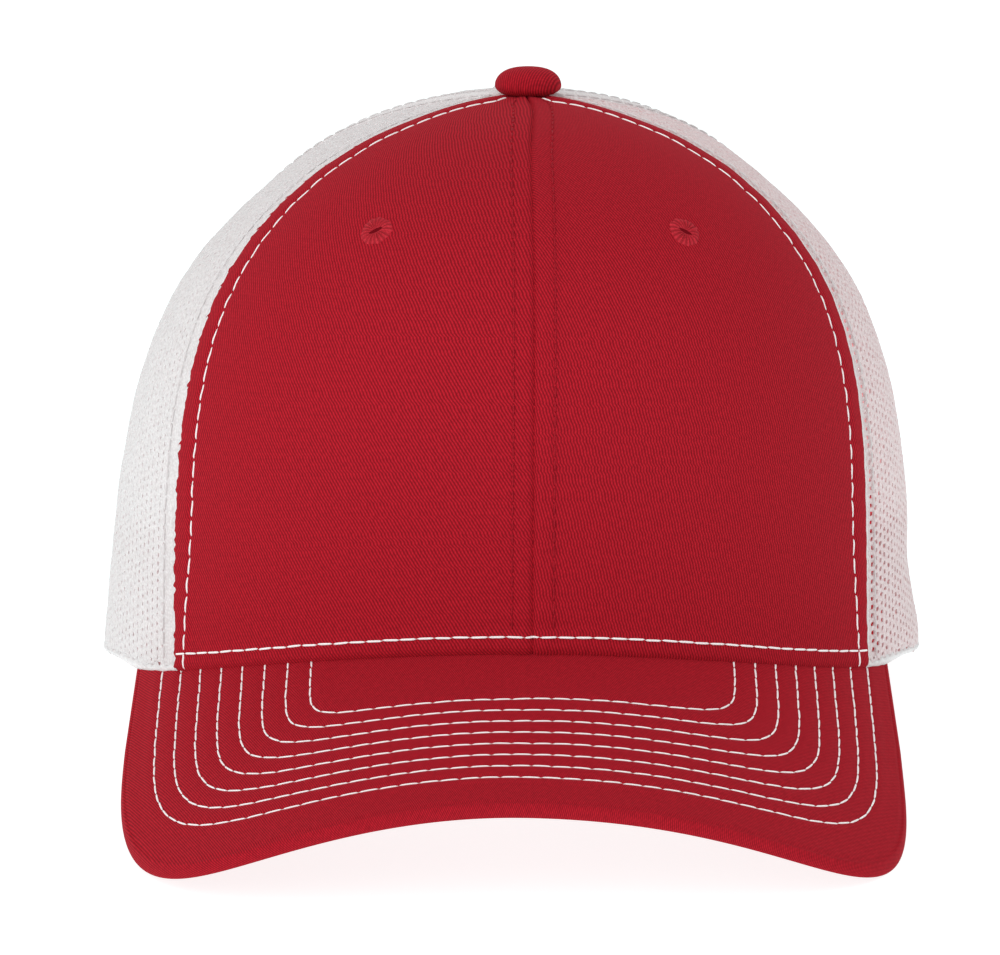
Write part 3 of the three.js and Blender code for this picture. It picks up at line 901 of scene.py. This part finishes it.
def makeArchBinding():
    def lay(u, v):
        angle = math.pi * (1 - u)
        grow = 1 + (binding["gap"] + binding["wide"] * v) / arch["halfWidth"]
        growUp = 1 + (binding["gap"] + binding["wide"] * v) / arch["height"]
        square = 2 / arch["square"]
        x = arch["halfWidth"] * grow * np.sign(np.cos(angle)) * np.abs(np.cos(angle)) ** square
        z = arch["height"] * growUp * np.maximum(np.sin(angle), 0) ** square
        height = z / crown["height"]
        azimuth = np.full_like(x, arch["centre"])
        for _ in range(12):
            ring = crownSurface(azimuth, height)
            turn = math.radians(arch["centre"] - 180)
            flat = ring[:, 0] * math.cos(turn) + ring[:, 1] * math.sin(turn)
            azimuth = azimuth - np.degrees((x - flat) / ringRadius(azimuth, height))
        edge = np.minimum(v, 1 - v) * binding["wide"]
        return crownPoint(azimuth, height, 0.3 - 0.6 * dip(edge, 0.5) - 0.15 * dip(edge - 1.6, 0.4)), None

    piece = clothGrid("archBinding", 140, 14, lay)
    thicken(piece, binding["thickness"])
    finishShape(piece, "archBinding", closeKnit)


makeArchBinding()
print("bands, hems and binding ready")

# Visor: a stiff board between two layers of twill. The top dips under eight rows of stitches and
# swells between them, and the cloth rolls over the front edge.
visorLook = {
    "columns": 240, "topRows": 124, "rollRows": 16, "underRows": 40, "rowPitch": 4.5,
    "rowCount": 8, "swell": 0.22, "groove": 0.5, "crease": 0.3, "rootTuck": 4.5,
}


def visorRelief(x, y):
    place = rowAt(x, y)
    count = visorLook["rowCount"]
    away = (place - np.clip(np.rint(place), 0, count - 1)) * visorLook["rowPitch"]
    inRows = smooth(place, -0.8, -0.2) * (1 - smooth(place, count - 0.6, count + 0.2))
    swell = visorLook["swell"] * (1 - np.exp(-(away / 1.1) ** 2)) * inRows
    return swell - visorLook["groove"] * 0.35 * dip(away, 0.42)


def makeVisor():
    total = visorLook["topRows"] + visorLook["rollRows"] + visorLook["underRows"]
    topEnd = visorLook["topRows"] / total
    rollEnd = topEnd + visorLook["rollRows"] / total

    def lay(u, v):
        t = 2 * u - 1
        edgeX, edgeY = visorOutline(t)
        beyondX, beyondY = visorOutline(t, 1.0)
        outwardX, outwardY = beyondX - edgeX, beyondY - edgeY
        size = np.hypot(outwardX, outwardY)
        outwardX, outwardY = outwardX / size, outwardY / size
        angle = np.radians(visor["endAzimuth"] * t)
        rootX = (crown["halfWidth"] - visorLook["rootTuck"]) * np.sin(angle)
        rootY = -(crown["frontReach"] - visorLook["rootTuck"]) * np.cos(angle)
        onTop = v <= topEnd + 1e-9
        onRoll = ~onTop & (v < rollEnd - 1e-9)
        share = np.where(onTop, v / topEnd, 1.0)
        under = np.clip((v - rollEnd) / (1 - rollEnd), 0, 1)
        share = np.where(v > rollEnd - 1e-9, 1 - under, share)
        x = rootX + (edgeX - rootX) * share
        y = rootY + (edgeY - rootY) * share
        bend = math.pi * np.clip((v - topEnd) / (rollEnd - topEnd), 0, 1)
        bulge = np.where(onRoll, visor["roll"] * np.sin(bend) ** 0.8, 0.0)
        x = x + outwardX * bulge
        y = y + outwardY * bulge
        depth = np.where(onTop, 0.0, visor["thickness"] * (1 - np.cos(bend)) / 2)
        fromEdge = (1 - share) * np.hypot(edgeX - rootX, edgeY - rootY)
        relief = np.where(onTop, visorRelief(x, y) - visorLook["crease"] * dip(fromEdge - 0.3, 0.5), 0.0)
        travelled = np.where(onTop, 0.0, depth + bulge * 0.4 + np.where(onRoll, 0, under * 58))
        clothX = np.where(onTop, x, edgeX + outwardX * travelled)
        clothY = np.where(onTop, y, edgeY + outwardY * travelled)
        places = np.stack([x, y, visorHeight(x, y) - depth + relief], -1)
        return places, np.stack([clothX, clothY], -1)

    piece = clothGrid("visorCover", visorLook["columns"], total, lay)
    editMesh(piece, fillHoles, selectFaces, faceOutward)
    finishShape(piece, "visorCover", visorTwill)
    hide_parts("visor")


makeVisor()
print("visor ready")

# Stitches: one small capsule, bent along the cloth for each stitch. Its ends sink into the cloth.
def stitchShape():
    clear()
    bpy.ops.mesh.primitive_uv_sphere_add(segments=6, ring_count=6, radius=1)
    shape = bpy.context.object
    points = np.array([vert.co for vert in shape.data.vertices])
    faces = [list(face.vertices) for face in shape.data.polygons]
    bpy.data.objects.remove(shape)
    return points, faces


stitchPoints, stitchFaces = stitchShape()


def placesAt(at, lengths, path):
    return np.stack([np.interp(at, lengths, path[:, k]) for k in range(3)], 1)


# Pitch, space between two stitches, radius, lift off the cloth and how far a stitch strays.
stitching = {
    "visorStitching": (4.4, -0.25, 0.215, 0.12, 0.14),
    "seamStitching": (4.4, -0.2, 0.26, 0.0, 0.12),
    "rimStitching": (4.0, -0.2, 0.26, 0.0, 0.12),
    "centreStitching": (3.2, 0.3, 0.22, 0.1, 0.06),
    "netStitching": (3.4, 0.3, 0.24, 0.05, 0.06),
}


def makeStitches(name, rows, material):
    pitch, space, radius, lift, wander = stitching[name]
    flat = 0.8
    share = 0.5 + np.arcsin(np.clip(stitchPoints[:, 2], -1, 1)) / math.pi
    around = np.arctan2(stitchPoints[:, 1], stitchPoints[:, 0])
    thick = (1 - np.abs(2 * share - 1) ** 5) ** 0.5
    arcLift = 0.6 * (1 - (2 * share - 1) ** 4) - 0.35
    allPoints, allFaces, allThread = [], [], []
    count = 0
    for path, normals in rows:
        lengths = lengthsAlong(path)
        number = max(1, round(lengths[-1] / pitch))
        step = lengths[-1] / number
        for i in range(number):
            chance = [float(uneven(i, count, k)) - 0.5 for k in range(4)]
            start = (i + 0.5) * step - (step - space) / 2 * (1 + 0.08 * chance[0])
            end = (i + 0.5) * step + (step - space) / 2 * (1 + 0.08 * chance[1])
            at = start + (end - start) * share
            middle = placesAt(at, lengths, path)
            out = placesAt(at, lengths, normals)
            out /= np.linalg.norm(out, axis=1, keepdims=True)
            ends = placesAt([start, end], lengths, path)
            along = ends[1] - ends[0]
            along /= np.linalg.norm(along)
            aside = np.cross(along, out)
            aside /= np.linalg.norm(aside, axis=1, keepdims=True)
            drift = wander * (chance[2] + (2 * share - 1) * chance[3] * 1.5)
            wide = radius * thick
            point = (middle + out * (lift + radius * arcLift + np.sin(around) * wide * flat)[:, None]
                     + aside * (np.cos(around) * wide + drift)[:, None])
            allPoints.append(point)
            allFaces.extend([[corner + len(stitchPoints) * count for corner in face] for face in stitchFaces])
            allThread.append(np.stack([share * (end - start), around / (2 * math.pi)], 1))
            count += 1
    mesh = bpy.data.meshes.new(name)
    mesh.from_pydata(onRest(np.concatenate(allPoints)).tolist(), [], allFaces)
    layCoordinates(mesh, "thread", np.concatenate(allThread))
    piece = bpy.data.objects.new(name, mesh)
    bpy.context.collection.objects.link(piece)
    editMesh(piece, faceOutward)
    finishShape(piece, name, material, angle=80)
    print(name, count, "stitches")


def onVisor(x, y):
    step = 0.2
    places = np.stack([x, y, visorHeight(x, y) + visorRelief(x, y)], -1)
    slopeX = (visorHeight(x + step, y) - visorHeight(x - step, y)) / (2 * step)
    slopeY = (visorHeight(x, y + step) - visorHeight(x, y - step)) / (2 * step)
    normals = np.stack([-slopeX, -slopeY, np.ones_like(x)], -1)
    return places, normals / np.linalg.norm(normals, axis=1, keepdims=True)


def onCrown(azimuth, height, out):
    places = crownPoint(azimuth, height, out)
    normals = crownPoint(azimuth, height, 1.0) - crownPoint(azimuth, height, 0.0)
    return places, normals / np.linalg.norm(normals, axis=1, keepdims=True)


visorRows = []
for k in range(visorLook["rowCount"]):
    x, y = rowLine(k)
    outside = (x / crown["halfWidth"]) ** 2 + (y / crown["frontReach"]) ** 2 > 0.94
    visorRows.append(onVisor(x[outside], y[outside]))
makeStitches("visorStitching", visorRows, glowingWhiteThread)


# A line up the crown, a given distance to one side of a seam, on the net or on a front panel.
def besideSeam(seam, distance, low, top, panel=None):
    start = (rimHeight(seams[seam][0]) + low) / crown["height"]
    end = shareAtRadius(seams[seam][1], top)
    height = start + (end - start) * evenUp(seams[seam][0], np.linspace(0, 1, 400))
    radius = ringRadius(seamAzimuth(seam, height), height)
    away = distance(height) if callable(distance) else distance
    azimuth = seamAzimuth(seam, height) + np.degrees(away / radius)
    if panel:
        return onCrown(azimuth, height, frontRelief(azimuth, height, panel))
    return onCrown(azimuth, height, 0.1)


whiteOnRed = [
    besideSeam("frontLeft", lambda height: sideStitchAway("frontLeft", height), 0.2, 4.2, "left"),
    besideSeam("frontRight", lambda height: -sideStitchAway("frontRight", height), 0.2, 4.2, "right"),
]
makeStitches("seamStitching", whiteOnRed, glowingWhiteThread)

rimAzimuth = np.linspace(seams["frontLeft"][0] - 0.9, seams["frontRight"][0] + 0.1, 500)
rimShare = (rimHeight(rimAzimuth) + frontPanel["rimStitch"]) / crown["height"]
rimRelief = np.where(rimAzimuth < seams["frontCentre"][0], frontRelief(rimAzimuth, rimShare, "left"),
                     frontRelief(rimAzimuth, rimShare, "right"))
makeStitches("rimStitching", [onCrown(rimAzimuth, rimShare, rimRelief)], glowingWhiteThread)

redOnRed = [
    besideSeam("frontCentre", -frontPanel["centreStitch"], 5, 11, "left"),
    besideSeam("frontCentre", frontPanel["centreStitch"], 5, 11, "right"),
]
makeStitches("centreStitching", redOnRed, redThread)

whiteOnWhite = [besideSeam("frontLeft", -net["leftStitch"], 1.0, 9),
                besideSeam("frontRight", net["rightStitch"], 1.0, 9)]
for seam, low in (("backLeft", 1.0), ("backRight", 1.0), ("backCentreRight", arch["height"] + 8)):
    whiteOnWhite += [besideSeam(seam, side * band["stitch"], low, 9) for side in (-1, 1)]
makeStitches("netStitching", whiteOnWhite, netThread)
print("stitching ready")

# Button: a dome covered in twill, with the cloth gathered under its rim.
button = {"radius": 7.75, "height": 6.9, "lift": -0.6, "aside": 1.2, "waist": 0.38, "under": 0.55,
          "fullness": 0.72, "gather": 0.012, "folds": 14, "columns": 72, "rows": 22}


def makeButton():
    def lay(u, v):
        around = 2 * math.pi * u
        angle = (-button["under"] + (1 + button["under"]) * v) * (math.pi / 2)
        gather = 1 + button["gather"] * np.sin(around * button["folds"]) * (1 - v) ** 2
        across = np.maximum(np.cos(angle), 0) ** button["fullness"] * button["radius"] * gather
        waist = button["height"] * button["waist"]
        rise = np.where(angle < 0, waist, button["height"] - waist) * np.sin(angle)
        x = across * np.sin(around)
        y = -across * np.cos(around)
        places = np.stack([crown["topDrift"] + button["aside"] + x, y,
                           crown["height"] + waist + rise + button["lift"]], -1)
        flat = 1 + 0.35 * (1 - v)
        return places, np.stack([x * flat, y * flat], -1)

    piece = clothGrid("buttonCover", button["columns"], button["rows"], lay)
    editMesh(piece, lambda: bpy.ops.mesh.remove_doubles(threshold=0.00001), fillHoles, faceOutward)
    finishShape(piece, "buttonCover", buttonTwill)
    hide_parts("top_button")


makeButton()

# Eyelets: a slit worked round with close buttonhole stitches, in the panels' own red. It closes
# under the threads, and its inside carries painted shade.
eyelet = {"outer": 4.0, "slitLong": 1.7, "slitWide": 0.5, "thick": 0.45, "threads": 36, "rows": 26,
          "loose": 0.4, "worked": 0.82, "closing": 0.18, "lean": {"left": 38.0, "right": -38.0}}


def makeEyelet(side):
    azimuth, height = eyelets[side]
    lean = math.radians(eyelet["lean"][side])

    def lay(u, v):
        around = 2 * math.pi * u
        turned = around - lean
        inner = 1 / np.hypot(np.cos(turned) / eyelet["slitLong"], np.sin(turned) / eyelet["slitWide"])
        loose = eyelet["loose"] * (uneven(np.floor(u * eyelet["threads"] + 0.5) % eyelet["threads"]) - 0.5)
        outer = eyelet["outer"] * (1 + 0.03 * np.sin(around * 3 + 1)) + loose
        share = np.clip(v / eyelet["worked"], 0, 1)
        across = outer + (inner - outer) * share
        middle = np.clip((v - eyelet["worked"]) / eyelet["closing"], 0, 1)
        across = across * (1 - middle)
        thread = np.cos(around * eyelet["threads"]) * np.sin(math.pi * share)
        swell = np.sin(math.pi * share) ** 0.6
        out = -0.12 + 0.24 * share + (eyelet["thick"] + 0.3 * loose) * swell + 0.1 * thread
        x, y = across * np.cos(around), across * np.sin(around)
        level = height + y / eyeletRise / crown["height"]
        turn = azimuth + np.degrees(x / ringRadius(azimuth, level))
        place = crownPoint(turn, level, out + frontRelief(turn, level, side))
        return place, np.stack([across, around * 2], -1)

    step = 0.004
    eyeletRise = np.linalg.norm(crownSurface(azimuth, height + step) - crownSurface(azimuth, height - step))
    eyeletRise = eyeletRise / (2 * step * crown["height"])
    piece = clothGrid("eyeletThreads" + side.capitalize(), eyelet["threads"] * 6, eyelet["rows"], lay)
    editMesh(piece, lambda: bpy.ops.mesh.remove_doubles(threshold=0.000002), fillHoles, faceOutward)
    # Faces inside the slit take the darker material, painted shade.
    for face in piece.data.polygons:
        spots = [piece.data.uv_layers["cloth"].data[corner].uv / mm for corner in face.loop_indices]
        across = sum(spot.x for spot in spots) / len(spots)
        turned = sum(spot.y for spot in spots) / len(spots) / 2 - lean
        slit = 1 / math.hypot(math.cos(turned) / eyelet["slitLong"], math.sin(turned) / eyelet["slitWide"])
        face.material_index = int(across < slit * 1.03)
    finishShape(piece, piece.name, eyeletThread, eyeletSlitShade, angle=80)
    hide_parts("eyelet_" + side)


makeEyelet("left")
makeEyelet("right")
print("button and eyelets ready")

# Sweatband: folded cotton twill inside the rim.
sweatband = {"low": 0.6, "high": 32.0, "ends": 34.6, "outer": -1.95, "thickness": 1.1}


def makeSweatband():
    start = arch["centre"] - 360 + sweatband["ends"]
    end = arch["centre"] - sweatband["ends"]

    def lay(u, v):
        azimuth = start + (end - start) * u
        rise = rimHeight(azimuth) + sweatband["low"] + (sweatband["high"] - sweatband["low"]) * v
        edge = np.minimum(v, 1 - v) * (sweatband["high"] - sweatband["low"])
        out = sweatband["outer"] - 0.3 * dip(edge, 0.8) - 0.08 * (1 + np.sin(azimuth * 0.9))
        return crownPoint(azimuth, rise / crown["height"], out), None

    piece = clothGrid("sweatbandCloth", 300, 24, lay)
    thicken(piece, sweatband["thickness"], bevel=0.3, segments=2)
    finishShape(piece, "sweatbandCloth", bandTwill)
    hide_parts("sweatband")


makeSweatband()

# Strap: one plain moulded strip across the back opening.
strap = {"thickness": 1.6, "height": 17.0, "halfAngle": 34.0, "outer": -1.9, "low": -0.75}


def makeStrap():
    tilt = math.radians(stand["tilt"])

    def lay(u, v):
        azimuth = arch["centre"] + strap["halfAngle"] * (2 * u - 1)
        place = crownPoint(azimuth, 0.0, strap["outer"])
        floor = (place[:, 1] * math.sin(tilt) - stand["lift"]) / math.cos(tilt)
        low = np.maximum(floor + 0.15, strap["low"])
        height = (low + (strap["height"] - low) * v) / crown["height"]
        return crownPoint(azimuth, np.maximum(height, 0), strap["outer"]) + np.stack(
            [0 * u, 0 * u, np.minimum(height, 0) * crown["height"]], -1), None

    piece = clothGrid("snapStrap", 90, 10, lay)
    thicken(piece, strap["thickness"], bevel=0.35, segments=3)
    finishShape(piece, "snapStrap", strapPlastic, angle=50)
    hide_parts("snap_strap")


makeStrap()
print("sweatband and strap ready")

# Camera: long lens, 10 degrees above the rim plane, as in the picture.
view = {"elevation": 10.0, "distance": 1500.0, "target": (0.0, 0.0, 60.0), "right": -2.42, "up": -18.8,
        "lens": 229.8}


def aimCamera():
    rise = math.radians(view["elevation"])
    back = np.array([0, -math.cos(rise), math.sin(rise)])
    above = np.array([0, math.sin(rise), math.cos(rise)])
    target = np.array(view["target"]) + np.array([view["right"], 0, 0]) + above * view["up"]
    eye = np.array(view["target"]) + back * view["distance"]
    eyePlace, targetPlace = Vector(onRest(eye)), Vector(onRest(target))
    camera = bpy.data.cameras.new("camera")
    camera.lens = view["lens"]
    camera.sensor_width = 36
    camera.clip_start = 0.05
    camera.clip_end = 60
    piece = bpy.data.objects.new("camera", camera)
    bpy.context.collection.objects.link(piece)
    piece.location = eyePlace
    piece.rotation_euler = (targetPlace - eyePlace).to_track_quat("-Z", "Y").to_euler()
    bpy.context.scene.camera = piece


aimCamera()

# Floor: matt white card, lit from behind like a light table.
clear()
bpy.ops.mesh.primitive_plane_add(size=30)
floor = bpy.context.object
floor.name = "floor"
card, cardTree, cardShader = newMaterial("mattCard")
fibre = noise(cardTree, addNode(cardTree, "TexCoord").outputs["Object"], 40.0, 4.0)
setInputs(cardTree, cardShader, {
    "Base Color": blend(cardTree, fibre, "a0adad", "a4b1b1"),
    "Emission Color": (0.97, 1, 1, 1), "Emission Strength": 0.86,
    "Roughness": 0.95, "Specular IOR Level": 0.1})
floor.data.materials.append(card)

# Each lamp: azimuth, elevation, distance and size in metres, power in watts.
light = {"world": 0.6, "exposure": 0.0, "softKey": (-36.0, 30.0, 2.2, 1.4, 11.9),
         "softTop": (0.0, 58.0, 2.0, 1.6, 6.5)}


def placeArea(name, azimuth, elevation, away, size, power):
    lamp = bpy.data.lights.new(name, "AREA")
    lamp.shape = "DISK"
    lamp.size = size
    lamp.energy = power
    piece = bpy.data.objects.new(name, lamp)
    bpy.context.collection.objects.link(piece)
    turn, rise = math.radians(azimuth), math.radians(elevation)
    heading = Vector((math.sin(turn) * math.cos(rise), -math.cos(turn) * math.cos(rise), math.sin(rise)))
    target = Vector((0, 0, 0.07))
    piece.location = target + heading * away
    piece.rotation_euler = (-heading).to_track_quat("-Z", "Y").to_euler()


for name in ("softKey", "softTop"):
    placeArea(name, *light[name])
world = bpy.data.worlds.new("studio")
world.use_nodes = True
world.node_tree.nodes["Background"].inputs[0].default_value = (1, 1, 1, 1)
world.node_tree.nodes["Background"].inputs[1].default_value = light["world"]
bpy.context.scene.world = world
bpy.context.scene.view_settings.view_transform = "Standard"
bpy.context.scene.view_settings.exposure = light["exposure"]
print("camera, floor and light ready")
